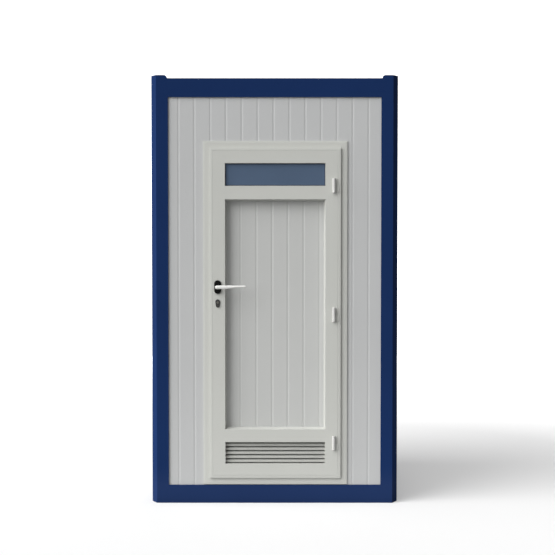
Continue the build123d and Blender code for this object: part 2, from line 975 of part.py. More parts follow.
def cylinder_plug():
    """The plug that the key turns, through the whole cylinder, with a thumb turn on the room side."""
    near = leaf_face - escutcheon_thickness - plug_proud
    far = leaf_back + escutcheon_thickness + plug_proud
    plug = bar_y(handle_x, cylinder_height, plug_radius, near, far + turn_stem)
    knob = Pos(handle_x, cylinder_height) * SlotOverall(turn_height, turn_width, rotation=90)
    plug += along_y(knob, far + turn_stem, far + turn_stem + turn_thickness)
    slot_half = key_slot_width / 2
    return plug - block(
        (handle_x - slot_half, handle_x + slot_half),
        (near, near + key_slot_depth),
        (cylinder_height - key_slot_height / 2, cylinder_height + key_slot_height / 2),
    )


cylinder_proud = escutcheon_thickness - profile_proud
cylinder_ends = (leaf_face - cylinder_proud, leaf_back + cylinder_proud)
plug_hole = bar_y(handle_x, cylinder_height, plug_radius + plug_clearance, *cylinder_ends)
write("lock_cylinder", cylinder_bar(0, *cylinder_ends) - plug_hole)
write("cylinder_plug", cylinder_plug())


# Handles and their plates
def rosette():
    """The oblong plate that the lever's neck turns in."""
    face = Pos(handle_x, handle_height) * SlotOverall(rosette_height, rosette_width, rotation=90)
    plate = along_y(face, leaf_face - rosette_thickness, leaf_face)
    plate = chamfer(plate.faces().sort_by(Axis.Y)[0].edges(), rosette_edge)
    return plate - bar_y(
        handle_x, handle_height, neck_radius + neck_clearance, leaf_face - rosette_thickness, leaf_face
    )


def escutcheon():
    """The plate round the lock cylinder, wider at its top."""
    top = Pos(0, escutcheon_above - escutcheon_top_radius) * Circle(escutcheon_top_radius)
    foot_z = escutcheon_above - escutcheon_height + escutcheon_foot_radius
    foot = Pos(0, foot_z) * Circle(escutcheon_foot_radius)
    face = Pos(handle_x, cylinder_height) * make_hull(top.edges() + foot.edges())
    plate = along_y(face, leaf_face - escutcheon_thickness, leaf_face)
    plate = chamfer(plate.faces().sort_by(Axis.Y)[0].edges(), escutcheon_edge)
    return plate - cylinder_bar(lock_fit, leaf_face - escutcheon_thickness, leaf_face)


def hand_lever():
    """A tapering lever, level along its top, on a round neck with a square socket for the spindle."""
    arm_back = leaf_face - lever_standoff
    arm_face = arm_back - lever_thickness
    ends = (Pos(-lever_heel, lever_lift) * Circle(lever_root_radius)).edges() + (
        Pos(lever_reach - lever_tip_radius, lever_lift + lever_rise) * Circle(lever_tip_radius)
    ).edges()
    arm = along_y(Pos(handle_x, handle_height) * make_hull(ends), arm_face, arm_back)
    arm = fillet(arm.faces().sort_by(Axis.Y)[0].edges(), lever_edge)
    neck = bar_y(handle_x, handle_height, neck_radius, arm_back, leaf_face - neck_gap)
    socket_half = spindle_side / 2 + spindle_fit
    socket = block(
        (handle_x - socket_half, handle_x + socket_half),
        (leaf_face - spindle_socket - spindle_fit, leaf_face),
        (handle_height - socket_half, handle_height + socket_half),
    )
    return arm + neck - socket


def both_sides(piece):
    """A piece of the door's outer face, and its twin on the room side."""
    return piece, mirror(piece, about=middle_of_leaf)


write("rosettes", *both_sides(rosette()))
write("escutcheons", *both_sides(escutcheon()))
write("levers", *both_sides(hand_lever()))
spindle_half = spindle_side / 2
write(
    "spindle",
    block(
        (handle_x - spindle_half, handle_x + spindle_half),
        (leaf_face - spindle_socket, leaf_back + spindle_socket),
        (handle_height - spindle_half, handle_height + spindle_half),
    ),
)


# Toilet
rim_z = base_height + rim_height
rim_y = room_y - pan_length + rim_half_length
shroud_y = (room_y - shroud_gap - shroud_length, room_y - shroud_gap)
seat_axis_y = rim_y + seat_axis_back
seat_axis_z = rim_z + seat_axis_rise


def oval(half_x, half_y, y, z):
    """A level ellipse on the toilet's middle line."""
    return Pos(toilet_x, y, z) * Ellipse(half_x, half_y)


def toilet_pan():
    """A ceramic pan: a waisted foot that swells to the rim, with a square shroud behind."""
    foot_y = rim_y + foot_setback
    body = loft(
        [
            oval(foot_half_width, foot_half_length, foot_y, base_height),
            oval(waist_half_width, waist_half_length, foot_y, base_height + waist_height),
            oval(rim_half_width, rim_half_length, rim_y, rim_z - rim_band),
        ]
    )
    body += along_z(oval(rim_half_width, rim_half_length, rim_y, 0), rim_z - rim_band, rim_z)
    shroud_half = shroud_width / 2
    shroud = block((toilet_x - shroud_half, toilet_x + shroud_half), shroud_y, (base_height, rim_z))
    body += fillet(shroud.edges().filter_by(Axis.Z), shroud_corner)
    bowl_y = rim_y - bowl_forward
    body -= loft(
        [
            oval(bowl_half_width, bowl_half_length, bowl_y, rim_z),
            oval(bowl_floor_half_width, bowl_floor_half_length, bowl_y, rim_z - bowl_depth),
        ]
    )
    return body - bar_y(toilet_x, soil_z, soil_radius + fit_gap, shroud_y[1] - soil_insert, shroud_y[1])


def tank_outline(inset):
    """The cistern's plan outline, drawn in by some wall."""
    across = cistern_width - 2 * inset
    deep = cistern_depth - 2 * inset
    face = RectangleRounded(across, deep, max(cistern_corner - inset, 1))
    return Pos(toilet_x, room_y - cistern_depth / 2) * face


tank_top = rim_z + cistern_height
tank_lid_top = tank_top + cistern_lid_thickness
tank_y = room_y - cistern_depth / 2


def cistern_lid():
    """The lid, which overhangs the tank at the front and sides, with the push button's hole."""
    x_half = cistern_width / 2 + cistern_lid_overhang
    lid = block(
        (toilet_x - x_half, toilet_x + x_half),
        (room_y - cistern_depth - cistern_lid_overhang, room_y),
        (tank_top, tank_lid_top),
    )
    lid = fillet(lid.faces().sort_by(Axis.Z)[-1].edges(), cistern_lid_edge)
    return lid - post(toilet_x, tank_y, button_radius + button_clearance, tank_top, tank_lid_top)


def on_both(span, build):
    """A piece built on the right of the toilet's middle line and on the left."""
    return [build(toilet_x + span[0], toilet_x + span[1]), build(toilet_x - span[1], toilet_x - span[0])]


def hinge_lugs(span, low, high):
    """Two lugs that turn on the seat's pins, linked to a plate that lies between two heights."""

    def lug(x_low, x_high):
        knuckle = bar_x(seat_axis_y, seat_axis_z, lug_radius, x_low, x_high)
        return knuckle + block((x_low, x_high), (seat_axis_y - lug_link, seat_axis_y), (low, high))

    return on_both(span, lug)


def seat_pin_hole():
    """The pins' space in the lugs."""
    reach = lid_lug_span[1]
    return bar_x(
        seat_axis_y, seat_axis_z, seat_pin_radius + seat_pin_clearance, toilet_x - reach, toilet_x + reach
    )


def toilet_seat():
    """The ring, on four buffers."""
    low = rim_z + seat_lift
    high = low + seat_thickness
    outer = oval(rim_half_width + seat_overhang, rim_half_length + seat_overhang, rim_y, 0)
    ring = along_z(outer, low, high)
    ring = fillet(ring.edges(), seat_edge)
    for lug in hinge_lugs(seat_lug_span, low, seat_axis_z):
        ring += lug
    ring -= along_z(oval(seat_hole_half_width, seat_hole_half_length, rim_y, 0), low, high)
    buffer_x = (seat_hole_half_width + rim_half_width) / 2
    for side in (-1, 1):
        for y in (rim_y - buffer_radius * 5, rim_y + buffer_radius * 5):
            ring += post(toilet_x + side * buffer_x, y, buffer_radius, rim_z + buffer_gap, low)
    return ring - seat_pin_hole()


def toilet_lid():
    """The lid, made closed and then turned up on its pins to where it rests against its stop."""
    low = rim_z + seat_lift + seat_thickness + lid_gap
    high = low + lid_thickness
    half_x = rim_half_width + seat_overhang
    half_y = rim_half_length + seat_overhang
    plate = along_z(oval(half_x, half_y, rim_y, 0), low, high)
    plate = fillet(plate.edges(), seat_edge)
    for lug in hinge_lugs(lid_lug_span, low, high - lug_clearance):
        plate += lug
    plate -= seat_pin_hole()
    return plate.rotate(Axis((toilet_x, seat_axis_y, seat_axis_z), (-1, 0, 0)), lid_rest_angle)


def seat_hinge(x_low, x_high):
    """A post on the pan with a pin that carries one lug of the seat and one of the lid."""
    pad = block((x_low, x_high), (seat_axis_y - lug_radius, seat_axis_y + lug_radius), (rim_z, seat_axis_z))
    return pad + bar_x(seat_axis_y, seat_axis_z, lug_radius, x_low, x_high)


def seat_hinges():
    """Both posts with their pins."""
    posts = on_both(post_span, seat_hinge)
    pins = on_both(
        (seat_lug_span[0], lid_lug_span[1]),
        lambda low, high: bar_x(seat_axis_y, seat_axis_z, seat_pin_radius, low, high),
    )
    return [pad + pin for pad, pin in zip(posts, pins)]


write("toilet_pan", toilet_pan())
tank = along_z(tank_outline(0), rim_z, tank_top)
tank -= along_z(tank_outline(cistern_wall), rim_z + cistern_wall, tank_top)
write("cistern", tank)
write("cistern_lid", cistern_lid())
button_top = tank_lid_top + button_proud
write("flush_button", post(toilet_x, tank_y, button_radius, button_top - button_height, button_top))
write("toilet_seat", toilet_seat())
write("toilet_lid", toilet_lid())
write("seat_hinges", *seat_hinges())


# Plumbing and the cable entry
def soil_pipe():
    """The drain pipe, from the pan's socket out through the rear wall, with a collar on the wall's face."""
    ends = (shroud_y[1] - soil_insert, rear + soil_reach)
    pipe = bar_y(toilet_x, soil_z, soil_radius, *ends)
    pipe += bar_y(toilet_x, soil_z, soil_collar_radius, rear - wall_setback, rear)
    return pipe - bar_y(toilet_x, soil_z, soil_radius - soil_wall, *ends)


def hexagon_bar(x, z, radius, low, high):
    """A six-sided nut or flange on a front-to-back axis."""
    return along_y(Pos(x, z) * RegularPolygon(radius, 6), low, high)


def water_inlet():
    """A threaded nipple through the rear wall, with a stop valve in the room."""
    outer_face = rear - wall_setback
    hex_end = outer_face + inlet_hex_thickness
    nipple = bar_y(inlet_x, inlet_height, inlet_radius, room_y, hex_end + inlet_reach)
    nipple += hexagon_bar(inlet_x, inlet_height, inlet_hex, outer_face, hex_end)
    half = valve_size / 2
    return nipple + block(
        (inlet_x - half, inlet_x + half),
        (room_y - valve_size, room_y),
        (inlet_height - half, inlet_height + half),
    )


def fill_pipe():
    """A bent pipe from the stop valve up and across into the cistern's side."""
    y = room_y - valve_size / 2
    start = inlet_height + valve_size / 2
    top = rim_z + fill_pipe_rise
    cistern_side = toilet_x - cistern_width / 2
    corners = ((inlet_x, y, start), (inlet_x, y, top), (cistern_side, y, top))
    route = FilletPolyline(*corners, radius=fill_pipe_bend)
    return sweep(Plane((inlet_x, y, start), z_dir=(0, 0, 1)) * Circle(fill_pipe_radius), path=route)


def power_gland():
    """A cable gland through the rear wall."""
    outer_face = rear - wall_setback
    hex_end = outer_face + gland_hex_thickness
    nut_end = hex_end + gland_nut_length
    gland = bar_y(gland_x, gland_z, gland_shank_radius, room_y, outer_face)
    gland += hexagon_bar(gland_x, gland_z, gland_hex, outer_face, hex_end)
    gland += bar_y(gland_x, gland_z, gland_nut_radius, hex_end, nut_end)
    return gland - bar_y(gland_x, gland_z, gland_bore_radius, room_y, nut_end)


write("soil_pipe", soil_pipe())
write("water_inlet", water_inlet(), fill_pipe())
write("power_gland", power_gland())


# Basin with its trap and tap
basin_z = base_height + basin_top
bowl_x = -room_x + basin_back + basin_bowl_half_reach
trap_x = bowl_x


def basin():
    """A wall-hung ceramic basin with an oval bowl and a flat deck for the tap."""
    outer = Pos(-room_x + basin_reach / 2, basin_y) * RectangleRounded(basin_reach, basin_width, basin_corner)
    body = extrude(Pos(0, 0, basin_z) * outer, amount=basin_height, dir=(0, 0, -1), taper=basin_taper)
    body += block(
        (-room_x, -room_x + basin_back),
        (basin_y - basin_width / 2, basin_y + basin_width / 2),
        (basin_z - basin_height / 2, basin_z),
    )
    body &= block(
        (-room_x, -room_x + basin_reach),
        (basin_y - basin_width / 2, basin_y + basin_width / 2),
        (basin_z - basin_height, basin_z),
    )
    bowl = loft(
        [
            Pos(bowl_x, basin_y, basin_z) * Ellipse(basin_bowl_half_reach, basin_bowl_half_width),
            Pos(bowl_x, basin_y, basin_z - basin_bowl_depth)
            * Ellipse(basin_bowl_floor_half, basin_bowl_floor_half + basin_bowl_half_width / 4),
        ]
    )
    body -= bowl
    return body - post(bowl_x, basin_y, tail_radius + tail_clearance, basin_z - basin_height, basin_z)


def basin_trap():
    """A bottle trap under the basin, with its tail in the basin's outlet and its pipe in the wall."""
    under = basin_z - basin_height
    bottle_top = under - trap_drop
    outlet_z = bottle_top - tail_radius - trap_height / 4
    trap = post(trap_x, basin_y, tail_radius, bottle_top, basin_z - basin_bowl_depth)
    trap += post(trap_x, basin_y, trap_radius, bottle_top - trap_height, bottle_top)
    return trap + bar_x(basin_y, outlet_z, tail_radius, -room_x, trap_x)


tap_x = -room_x + tap_inset
tap_top = basin_z + tap_height


def tap_body():
    """A pillar tap with a level spout."""
    body = post(tap_x, basin_y, tap_radius, basin_z, tap_top)
    spout_z = basin_z + spout_height
    body += bar_x(basin_y, spout_z, spout_radius, tap_x, tap_x + spout_reach)
    outlet_x = tap_x + spout_reach - spout_radius
    body += post(outlet_x, basin_y, spout_radius, spout_z - spout_radius - spout_outlet, spout_z)
    return fillet(body.faces().sort_by(Axis.Z)[-1].edges(), tap_lever_edge)


def tap_lever():
    """A quarter-turn lever on the tap's top."""
    low = tap_top + tap_lever_gap
    high = low + tap_lever_height
    ends = Circle(tap_radius).edges() + (
        Pos(tap_lever_reach, 0) * Circle(tap_lever_width / 2)
    ).edges()
    lever = along_z(Pos(tap_x, basin_y) * make_hull(ends), low, high)
    return fillet(lever.faces().sort_by(Axis.Z)[-1].edges(), tap_lever_edge)


write("basin", basin())
write("basin_trap", basin_trap())
write("tap_body", tap_body())
write("tap_lever", tap_lever())
write(
    "mirror",
    block(
        (-room_x, -room_x + mirror_thickness),
        (basin_y - mirror_width / 2, basin_y + mirror_width / 2),
        (base_height + mirror_bottom, base_height + mirror_bottom + mirror_height),
    ),
)


# Paper holder and roll
holder_z = base_height + holder_height
roll_x = room_x - holder_plate - roll_wall_gap - roll_radius
roll_y = (holder_y - roll_width / 2, holder_y + roll_width / 2)
core_radius = roll_core_radius - roll_clearance


def bar_between(y_low, y_high, radius):
    """A cylinder on the roll's axis."""
    return bar_y(roll_x, holder_z, radius, y_low, y_high)


def paper_holder():
    """A wall plate with two arms and the bobbin that the roll turns on."""
    inner = (roll_y[0] - roll_side_gap, roll_y[1] + roll_side_gap)
    holder = block(
        (room_x - holder_plate, room_x),
        (holder_y - holder_plate_width / 2, holder_y + holder_plate_width / 2),
        (holder_z - holder_plate_height / 2, holder_z + holder_plate_height / 2),
    )
    arms = ((inner[0] - holder_arm_thickness, inner[0]), (inner[1], inner[1] + holder_arm_thickness))
    for low, high in arms:
        holder += bar_between(low, high, holder_arm_radius)
        holder += block(
            (roll_x, room_x - holder_plate),
            (low, high),
            (holder_z - holder_arm_radius, holder_z + holder_arm_radius),
        )
    return holder + bar_between(*inner, core_radius)


write("paper_holder", paper_holder())
write("paper_roll", bar_between(*roll_y, roll_radius) - bar_between(*roll_y, roll_core_radius))


# Ceiling lamp
def dome(radius, drop):
    """A solid cap of a sphere, hanging under the lamp's base."""
    ball = (radius**2 + drop**2) / (2 * drop)
    top = ceiling - lamp_base_height
    cap = Pos(0, 0, top - drop + ball) * Sphere(ball)
    return cap & post(0, 0, radius, top - drop, top)


write("lamp_base", post(0, 0, lamp_radius, ceiling - lamp_base_height, ceiling))
write(
    "lamp_diffuser",
    dome(lamp_dome_radius, lamp_dome_drop)
    - dome(lamp_dome_radius - lamp_dome_wall, lamp_dome_drop - lamp_dome_wall),
)


# Light switch on the front wall, by the door
switch_z = base_height + switch_height
plate_y = (front + lining, front + lining + switch_thickness)
rocker_y = front + lining + switch_thickness / 2


def switch_plate():
    """A square plate with a window for the rocker."""
    face = Pos(switch_x, switch_z) * RectangleRounded(switch_side, switch_side, switch_corner)
    window_x = rocker_width / 2 + rocker_gap
    window_z = rocker_height / 2 + rocker_tilt_room
    plate = along_y(face, *plate_y) - block(
        (switch_x - window_x, switch_x + window_x), plate_y, (switch_z - window_z, switch_z + window_z)
    )
    reach = rocker_width / 2 + rocker_pin_length + rocker_gap
    hole_radius = rocker_pin_radius + rocker_pin_clearance
    return plate - bar_x(rocker_y, switch_z, hole_radius, switch_x - reach, switch_x + reach)


def switch_rocker():
    """The rocker, on two short pins, tilted to its off position about them."""
    half = rocker_width / 2
    rocker = block(
        (-half, half), (-rocker_sunk, rocker_thickness - rocker_sunk), (-rocker_height / 2, rocker_height / 2)
    )
    rocker += bar_x(0, 0, rocker_pin_radius, -half - rocker_pin_length, half + rocker_pin_length)
    return Pos(switch_x, rocker_y, switch_z) * Rot(X=rocker_tilt) * rocker


write("switch_plate", switch_plate())
write("switch_rocker", switch_rocker())
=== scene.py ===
import math

import bmesh
import bpy
import numpy as np
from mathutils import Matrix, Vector


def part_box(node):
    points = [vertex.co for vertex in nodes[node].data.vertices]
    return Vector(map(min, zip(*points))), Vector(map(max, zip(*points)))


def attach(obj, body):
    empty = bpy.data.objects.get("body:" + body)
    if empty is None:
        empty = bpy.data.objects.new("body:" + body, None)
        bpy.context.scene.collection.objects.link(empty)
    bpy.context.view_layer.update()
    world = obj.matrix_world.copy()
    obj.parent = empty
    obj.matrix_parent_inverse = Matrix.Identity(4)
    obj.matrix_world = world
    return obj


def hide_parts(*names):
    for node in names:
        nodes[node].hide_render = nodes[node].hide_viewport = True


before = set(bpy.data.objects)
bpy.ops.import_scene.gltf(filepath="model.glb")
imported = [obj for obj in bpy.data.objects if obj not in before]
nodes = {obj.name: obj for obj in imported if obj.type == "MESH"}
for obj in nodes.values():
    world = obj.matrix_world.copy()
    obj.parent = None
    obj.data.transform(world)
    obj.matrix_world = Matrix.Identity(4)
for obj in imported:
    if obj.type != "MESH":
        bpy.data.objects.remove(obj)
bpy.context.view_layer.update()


# Steel frame: four posts folded from sheet with the outer corner cut off, tube beams at the foot and
# the roof, thick bevelled caps with lifting holes and foot plates. All of it is welded, and sprayed
# with one coat of satin blue. Near the ground the blue is painted paler: painted light from the floor.
def linear(red, green, blue):
    """A screen colour, 0 to 255, as the light it stands for."""
    screen = np.array([red, green, blue]) / 255.0
    light = np.where(screen <= 0.04045, screen / 12.92, ((screen + 0.055) / 1.055) ** 2.4)
    return (*light.tolist(), 1.0)


def noise(tree, place, size, detail, stretch):
    """A noise whose blotches are about size metres wide, times its stretch along each axis."""
    spread = tree.nodes.new("ShaderNodeMapping")
    spread.inputs["Scale"].default_value = [1.0 / (size * s) for s in stretch]
    tree.links.new(place.outputs["Object"], spread.inputs["Vector"])
    texture = tree.nodes.new("ShaderNodeTexNoise")
    texture.inputs["Scale"].default_value = 1.0
    texture.inputs["Detail"].default_value = detail
    tree.links.new(spread.outputs["Vector"], texture.inputs["Vector"])
    return texture.outputs["Fac"]


def between(tree, value, low, high, start=0.3, end=0.7):
    """Lays a value's range from start to end, a noise's middle if not given, over that from low to high."""
    change = tree.nodes.new("ShaderNodeMapRange")
    change.inputs["From Min"].default_value = start
    change.inputs["From Max"].default_value = end
    change.inputs["To Min"].default_value = low
    change.inputs["To Max"].default_value = high
    tree.links.new(value, change.inputs["Value"])
    return change.outputs["Result"]


def finish(
    name,
    colour,
    roughness,
    mottle=0.03,
    cloud=0.25,
    grain=0.0012,
    relief=0.00003,
    stretch=(1.0, 1.0, 1.0),
    metallic=0.0,
    specular=0.5,
):
    """A made surface: clouds of cloud metres shift the colour's value by mottle, ones a quarter as wide
    shift the roughness, and a grain of grain metres shifts the height by relief metres. All three are drawn
    out by stretch."""
    material = bpy.data.materials.new(name)
    material.use_nodes = True
    tree = material.node_tree
    shader = tree.nodes["Principled BSDF"]
    shader.inputs["Metallic"].default_value = metallic
    shader.inputs["Specular IOR Level"].default_value = specular
    place = tree.nodes.new("ShaderNodeTexCoord")
    shade = tree.nodes.new("ShaderNodeHueSaturation")
    shade.inputs["Color"].default_value = colour
    clouds = noise(tree, place, cloud, detail=5.0, stretch=stretch)
    tree.links.new(between(tree, clouds, 1.0 - mottle, 1.0 + mottle), shade.inputs["Value"])
    tree.links.new(shade.outputs["Color"], shader.inputs["Base Color"])
    smears = noise(tree, place, cloud / 4, detail=6.0, stretch=stretch)
    smooth = roughness * 0.85
    rough = min(roughness * 1.15, 1.0)
    tree.links.new(between(tree, smears, smooth, rough), shader.inputs["Roughness"])
    bump = tree.nodes.new("ShaderNodeBump")
    bump.inputs["Strength"].default_value = 1.0
    bump.inputs["Distance"].default_value = relief
    grains = noise(tree, place, grain, detail=2.0, stretch=stretch)
    tree.links.new(grains, bump.inputs["Height"])
    tree.links.new(bump.outputs["Normal"], shader.inputs["Normal"])
    return material


def shader_of(material):
    """The one shader of a finish."""
    return material.node_tree.nodes["Principled BSDF"]


def dress(material, *names):
    """Puts a finish on CAD nodes."""
    for name in names:
        for slot in nodes[name].material_slots:
            slot.material = material


def colour_by_place(material, axis, start, end, colour, most=1.0):
    """Mixes colour into a finish along one axis: none of it at start, and its most from end onwards."""
    tree = material.node_tree
    place = tree.nodes.new("ShaderNodeTexCoord")
    axes = tree.nodes.new("ShaderNodeSeparateXYZ")
    tree.links.new(place.outputs["Object"], axes.inputs["Vector"])
    shade = next(node for node in tree.nodes if node.type == "HUE_SAT")
    mix = tree.nodes.new("ShaderNodeMixRGB")
    mix.inputs["Color2"].default_value = colour
    tree.links.new(between(tree, axes.outputs[axis], 0.0, most, start, end), mix.inputs["Fac"])
    tree.links.new(shade.outputs["Color"], mix.inputs["Color1"])
    tree.links.new(mix.outputs["Color"], shader_of(material).inputs["Base Color"])


GROUND_LIGHT_TOP = 0.2
GROUND_LIGHT_FULL = 0.1
GROUND_LIGHT_MOST = 0.014
blue_paint = finish(
    "blue_paint", linear(26, 47, 89), roughness=0.5, mottle=0.05,
    cloud=0.5, grain=0.004, relief=0.00004, specular=0.01,
)
# Painted light: the blue turns paler towards the ground, in place of light thrown up by the floor.
colour_by_place(blue_paint, "Z", GROUND_LIGHT_TOP, GROUND_LIGHT_FULL, linear(170, 180, 205), GROUND_LIGHT_MOST)
dress(
    blue_paint,
    "corner_posts_front",
    "corner_posts_rear",
    "foot_plates",
    "corner_caps",
    "base_beams",
    "roof_beams",
    "floor_joists",
)


# Floor: a plywood board, laid on the tube joists and screwed down. A sheet of speckled vinyl is glued on
# top of it, from wall to wall.
plywood = finish(
    "plywood", linear(176, 138, 94), roughness=0.7, mottle=0.12,
    cloud=0.12, grain=0.002, relief=0.0002, stretch=(1.0, 12.0, 1.0),
)
dress(plywood, "floor_board")
vinyl = finish(
    "speckled_vinyl", linear(120, 122, 124), roughness=0.45, mottle=0.22,
    cloud=0.006, grain=0.001, relief=0.00005,
)
dress(vinyl, "floor_vinyl")


# Walls and roof: sandwich panels, two sheets of coated steel on a foam core. The outer sheet is rolled
# with shallow upright grooves and a fine orange-peel grain; folded trims carry the roof panel.
panel_coat = finish(
    "panel_coat", linear(187, 188, 188), roughness=0.5, mottle=0.012,
    cloud=0.6, grain=0.0025, relief=0.00003, specular=0.25,
)
dress(
    panel_coat,
    "front_panel_left",
    "front_panel_right",
    "wall_panel_left",
    "wall_panel_right",
    "wall_panel_rear",
)
roof_sheet = finish(
    "roof_sheet", linear(196, 198, 198), roughness=0.45, mottle=0.05,
    cloud=0.4, grain=0.003, relief=0.00004,
)
dress(roof_sheet, "roof_panel")
white_trim = finish("white_trim", linear(226, 227, 225), roughness=0.45, mottle=0.02, cloud=0.3)
dress(white_trim, "ceiling_trims")


# Header panel: the piece of grooved wall above the door, sawn from the same sheet. Its left edge was cut in
# a groove, so that the joint with the next panel stands on that groove's flank.
SHARP_ANGLE = math.radians(40)
SAME_PLACE = 1e-7


def closed_skin(name, *shells, ring=False):
    """One mesh from shells of rings: shell[i, j] is point j of ring i. Each ring closes on itself, and
    rings are joined by four-sided faces. The last ring joins the first where the shell is a ring itself,
    and otherwise the first and last are closed by a flat face each."""
    points = []
    faces = []
    for shell in shells:
        start = sum(len(p) for p in points)
        count, around = shell.shape[:2]
        i, j = np.meshgrid(np.arange(count if ring else count - 1), np.arange(around), indexing="ij")
        up = (i + 1) % count
        on = (j + 1) % around
        quads = np.stack([i * around + j, i * around + on, up * around + on, up * around + j], axis=-1)
        faces += (quads.reshape(-1, 4) + start).tolist()
        if not ring:
            faces.append((np.arange(around)[::-1] + start).tolist())
            faces.append((np.arange(around) + (count - 1) * around + start).tolist())
        points.append(shell.reshape(-1, 3))
    mesh = bpy.data.meshes.new(name)
    mesh.from_pydata(np.concatenate(points).tolist(), [], faces)
    shape = bmesh.new()
    shape.from_mesh(mesh)
    bmesh.ops.remove_doubles(shape, verts=shape.verts, dist=SAME_PLACE)
    bmesh.ops.recalc_face_normals(shape, faces=shape.faces)
    shape.to_mesh(mesh)
    shape.free()
    mesh.shade_smooth()
    mesh.set_sharp_from_angle(angle=SHARP_ANGLE)
    piece = bpy.data.objects.new(name, mesh)
    bpy.context.scene.collection.objects.link(piece)
    return piece


def fit(piece, material, body):
    """Gives a finished piece its material and the body that it moves with."""
    piece.data.materials.append(material)
    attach(piece, body)


GROOVE_PHASE = -0.006
GROOVE_PITCH = 0.087
GROOVE_HALF = 0.008
GROOVE_DEPTH = 0.0012
GROOVES_EACH_SIDE = 4


def grooved_section(low, high, face, back):
    """A plan outline with a straight back. The face sinks near each groove's middle, by the groove's depth
    less the distance from the middle times the slope of the flanks."""
    middles = GROOVE_PHASE + GROOVE_PITCH * np.arange(-GROOVES_EACH_SIDE, GROOVES_EACH_SIDE + 1)
    marks = (middles[:, None] + GROOVE_HALF * np.array([-1.0, 0.0, 1.0])).ravel()
    x = np.unique(np.clip(np.append(marks, (low, high)), low, high))
    apart = np.abs(x[:, None] - middles).min(axis=1)
    y = face + GROOVE_DEPTH * np.clip(1 - apart / GROOVE_HALF, 0, 1)
    return np.stack([np.append(x, (high, low)), np.append(y, (back, back))], axis=-1)


head_low, head_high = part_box("front_panel_header")
head_section = grooved_section(head_low.x, head_high.x, head_low.y, head_high.y)
head_rings = np.empty((2, len(head_section), 3))
head_rings[..., :2] = head_section
head_rings[..., 2] = [[head_low.z], [head_high.z]]
header_panel = closed_skin("header_panel", head_rings)
# The edges of a groove are too shallow to count as sharp, so every face is shaded flat.
header_panel.data.shade_flat()
fit(header_panel, panel_coat, "cabin")
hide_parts("front_panel_header")


# Roof screws: zinc-plated steel screws with a hexagon head and a washer. They are driven through the roof's
# top sheet in the bays between the ribs, at both ends and in the middle.
WASHER_RADIUS = 0.0080
WASHER_TOP = 0.0012
FLANGE_RADIUS = 0.0066
FLANGE_TOP = 0.0020
HEX_HALF = 0.0040
HEX_TOP = 0.0060
HEX_EASE_IN = 0.0006
HEX_EASE_DOWN = 0.0005


def hex_screw(place):
    """Circles about an upright axis: a washer, a flange, and an eased head. The head's circles are drawn
    out to six flats, by the inverse cosine of the angle from the middle of the nearest flat."""
    section = [
        (WASHER_RADIUS, 0.0, 0),
        (WASHER_RADIUS, WASHER_TOP, 0),
        (FLANGE_RADIUS, WASHER_TOP, 0),
        (FLANGE_RADIUS, FLANGE_TOP, 0),
        (HEX_HALF, FLANGE_TOP, 1),
        (HEX_HALF, HEX_TOP - HEX_EASE_DOWN, 1),
        (HEX_HALF - HEX_EASE_IN, HEX_TOP, 1),
        (0.0, HEX_TOP, 1),
    ]
    radius, along, flats = np.array(section).T
    turn = np.linspace(0, 2 * math.pi, 24, endpoint=False)
    corner = 1 / np.cos(np.mod(turn, math.pi / 3) - math.pi / 6)
    spread = radius[:, None] * (1 + flats[:, None] * (corner - 1))
    rings = np.empty((len(radius), len(turn), 3))
    rings[..., 0] = place[0] + spread * np.cos(turn)
    rings[..., 1] = place[1] + spread * np.sin(turn)
    rings[..., 2] = place[2] + along[:, None]
    return rings


RIB_HEIGHT = 0.022
RIB_MARGIN = 0.06
RIB_COUNT = 5
SCREW_EDGE = 0.03
trim_low, trim_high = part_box("ceiling_trims")
roof_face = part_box("roof_panel")[1].z - RIB_HEIGHT
rib_step = 2 * (trim_high.x - RIB_MARGIN) / RIB_COUNT
bays = (np.arange(RIB_COUNT - 1) - (RIB_COUNT - 2) / 2) * rib_step
rows = (trim_low.y + SCREW_EDGE, 0.0, trim_high.y - SCREW_EDGE)
zinc = finish(
    "zinc", linear(168, 170, 172), roughness=0.36, mottle=0.06,
    cloud=0.006, grain=0.0005, relief=0.00001, metallic=1.0,
)
roof_screws = closed_skin("roof_screws", *[hex_screw((x, y, roof_face)) for x in bays for y in rows])
fit(roof_screws, zinc, "cabin")


# Trim screws: white pan-head steel screws with a cross slot. Three on each side hold the ceiling trims to
# the walls.
def turned(centre, axis, radius, along, count):
    """Circles of count points about an axis: circle i has radius[i] and lies along[i] from the centre."""
    axis = np.array(axis, float)
    side = np.cross(axis, (0.0, 0.0, 1.0) if abs(axis[2]) < 0.5 else (1.0, 0.0, 0.0))
    turn = np.linspace(0, 2 * math.pi, count, endpoint=False)
    spoke = np.cos(turn)[:, None] * side + np.sin(turn)[:, None] * np.cross(axis, side)
    return np.array(centre) + radius[:, None, None] * spoke + along[:, None, None] * axis


HEAD_POINTS = 32
CROSS_HALF = 0.13
CROSS_REACH = 0.6
CROSS_SINK = 0.7


def screw_head(place, axis, size, rise):
    """A low dome on circles about the axis, with a cross sunk where a point lies near one of two crossing
    lines and well inside the rim."""
    share = np.array([0.0, 0.16, 0.3, 0.42, 0.54, 0.66, 0.8, 0.92, 1.0, 1.0])
    dome = np.array([1.0, 1.0, 0.99, 0.97, 0.93, 0.87, 0.76, 0.6, 0.4, 0.0])
    turn = np.linspace(0, 2 * math.pi, HEAD_POINTS, endpoint=False)
    x = np.abs(share[:, None] * np.cos(turn))
    y = np.abs(share[:, None] * np.sin(turn))
    cross = (np.minimum(x, y) < CROSS_HALF) & (np.maximum(x, y) < CROSS_REACH)
    rings = turned(place, axis, size * share, rise * dome, HEAD_POINTS)
    return rings - (CROSS_SINK * rise * cross)[..., None] * np.array(axis)


